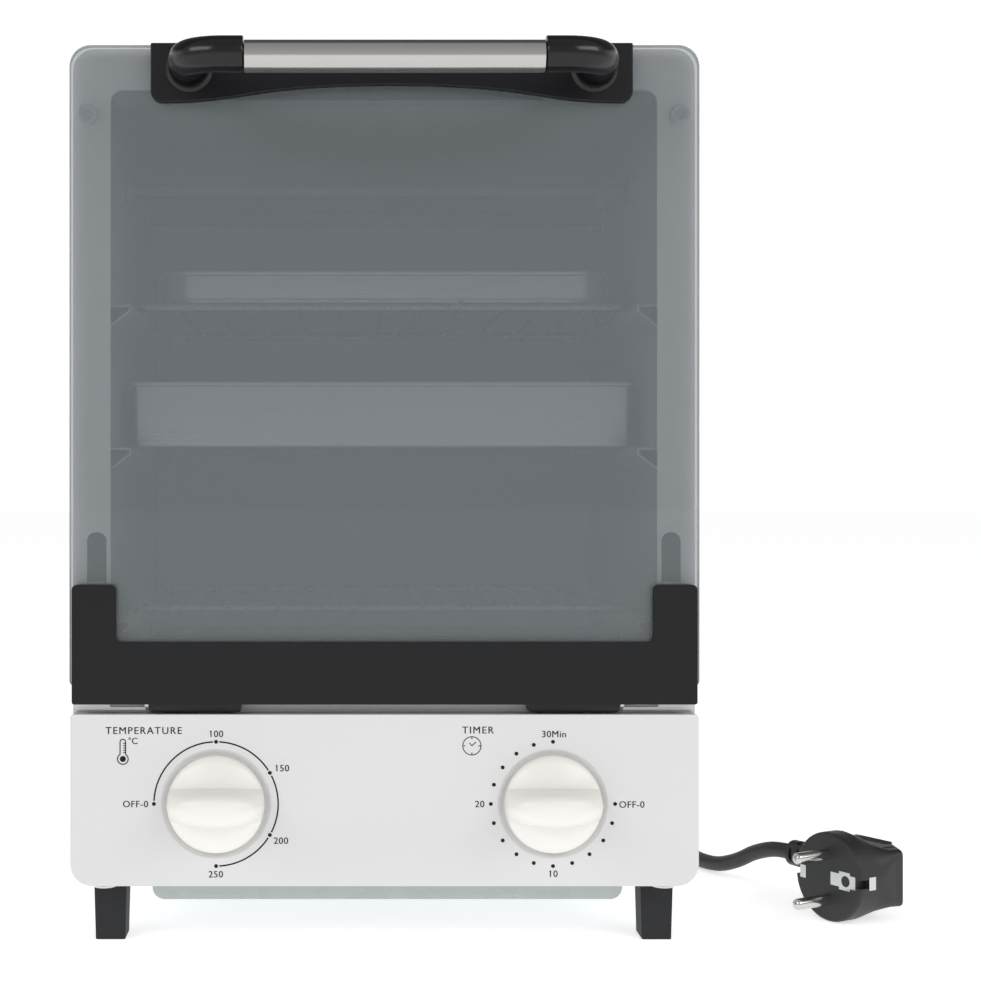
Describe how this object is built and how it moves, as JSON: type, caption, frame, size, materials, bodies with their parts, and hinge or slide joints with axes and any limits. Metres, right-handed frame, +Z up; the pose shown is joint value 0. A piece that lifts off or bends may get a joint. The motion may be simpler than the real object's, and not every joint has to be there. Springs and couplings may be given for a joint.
{
  "type": "dry heat sterilizer",
  "caption": "Upright bench chamber heated by dry hot air, with a drop-down smoked glass door, racks and trays, and turn knobs for temperature and time.",
  "frame": {"origin": "middle of the footprint without the cord, on the surface that the feet stand on", "axes": "+Z up, the door and the knobs face -Y, +X to the right seen from the front"},
  "size_m": [0.3508, 0.3975, 0.358],
  "materials": {
    "white_enamel": "baked white enamel, fine grain, satin",
    "bumper_plastic": "moulded, satin",
    "galvanised_sheet": "hot-dip galvanised, spangled, satin",
    "heater_sheath": "oxidised sheath, matt",
    "chromed_wire": "plated, bright",
    "stainless_steel": "polished along its length",
    "zinc_plated_steel": "zinc plated, dull",
    "ivory_plastic": "moulded, soft gloss",
    "smoked_glass": "tempered, tinted grey, polished",
    "black_plastic": "moulded, fine satin grain",
    "gloss_black_plastic": "moulded, glossy",
    "foot_rubber": "moulded, matt",
    "cord_sheath": "extruded, satin",
    "plug_plastic": "moulded, satin",
    "plated_brass": "nickel plated, bright"
  },
  "bodies": {
    "case": {"front_frame": "white_enamel", "outer_cover": "white_enamel", "back_panel": "white_enamel", "base_plate": "galvanised_sheet", "control_panel": "white_enamel", "panel_screw_left": "white_enamel", "panel_screw_right": "white_enamel", "door_bumper_left": "bumper_plastic", "door_bumper_right": "bumper_plastic", "chamber_wall_left": "galvanised_sheet", "chamber_wall_right": "galvanised_sheet", "chamber_roof": "galvanised_sheet", "chamber_back": "galvanised_sheet", "control_divider": "galvanised_sheet", "lower_heater_front": "heater_sheath", "lower_heater_rear": "heater_sheath", "upper_heater_front": "heater_sheath", "upper_heater_rear": "heater_sheath", "thermostat_body": "zinc_plated_steel", "timer_body": "zinc_plated_steel", "hinge_bracket_left": "zinc_plated_steel", "hinge_bracket_right": "zinc_plated_steel", "crumb_tray_runner_left": "galvanised_sheet", "crumb_tray_runner_right": "galvanised_sheet", "foot_front_left": "foot_rubber", "foot_front_right": "foot_rubber", "foot_rear_left": "foot_rubber", "foot_rear_right": "foot_rubber", "rear_spacer_left": "black_plastic", "rear_spacer_right": "black_plastic", "cord_gland": "cord_sheath", "cord_lead": "cord_sheath", "cord_coil": "cord_sheath", "cord_tail": "cord_sheath", "plug_body": "plug_plastic", "plug_strain_relief": "plug_plastic", "plug_pin_lower": "plated_brass", "plug_pin_upper": "plated_brass"},
    "door": {"door_glass": "smoked_glass", "door_bottom_frame": "black_plastic", "handle_bracket": "black_plastic", "handle_clamp_strip": "black_plastic", "handle_tube": "stainless_steel", "handle_elbow_left": "gloss_black_plastic", "handle_elbow_right": "gloss_black_plastic", "hinge_arm_left": "zinc_plated_steel", "hinge_arm_right": "zinc_plated_steel", "hinge_pin_left": "zinc_plated_steel", "hinge_pin_right": "zinc_plated_steel"},
    "temperature_control": {"temperature_knob": "ivory_plastic", "thermostat_shaft": "zinc_plated_steel"},
    "timer_control": {"timer_knob": "ivory_plastic", "timer_shaft": "zinc_plated_steel"},
    "crumb_drawer": {"crumb_tray": "galvanised_sheet"},
    "bottom_shelf": {"bottom_rack": "chromed_wire"},
    "lower_pan": {"lower_tray": "stainless_steel"},
    "upper_shelf": {"upper_rack": "chromed_wire", "upper_tray": "stainless_steel"}
  },
  "joints": [
    {"name": "door_swing", "type": "hinge", "parent": "case", "child": "door", "pos_m": [0, -0.09125, 0.0974], "axis": [1, 0, 0], "range_deg": [0, 90], "stiffness_Nm_per_rad": 0.3, "springref_deg": -28.65},
    {"name": "temperature_turn", "type": "hinge", "parent": "case", "child": "temperature_control", "pos_m": [-0.0667, -0.09275, 0.0572], "axis": [0, 1, 0], "range_deg": [0, 270]},
    {"name": "timer_turn", "type": "hinge", "parent": "case", "child": "timer_control", "pos_m": [0.0667, -0.09275, 0.0572], "axis": [0, 1, 0], "range_deg": [0, 270]},
    {"name": "crumb_tray_slide", "type": "slide", "parent": "case", "child": "crumb_drawer", "axis": [0, -1, 0], "range_m": [0, 0.16]},
    {"name": "bottom_rack_slide", "type": "slide", "parent": "case", "child": "bottom_shelf", "axis": [0, -1, 0], "range_m": [0, 0.03]},
    {"name": "lower_tray_slide", "type": "slide", "parent": "case", "child": "lower_pan", "axis": [0, -1, 0], "range_m": [0, 0.025]},
    {"name": "upper_rack_slide", "type": "slide", "parent": "case", "child": "upper_shelf", "axis": [0, -1, 0], "range_m": [0, 0.03]}
  ]
}
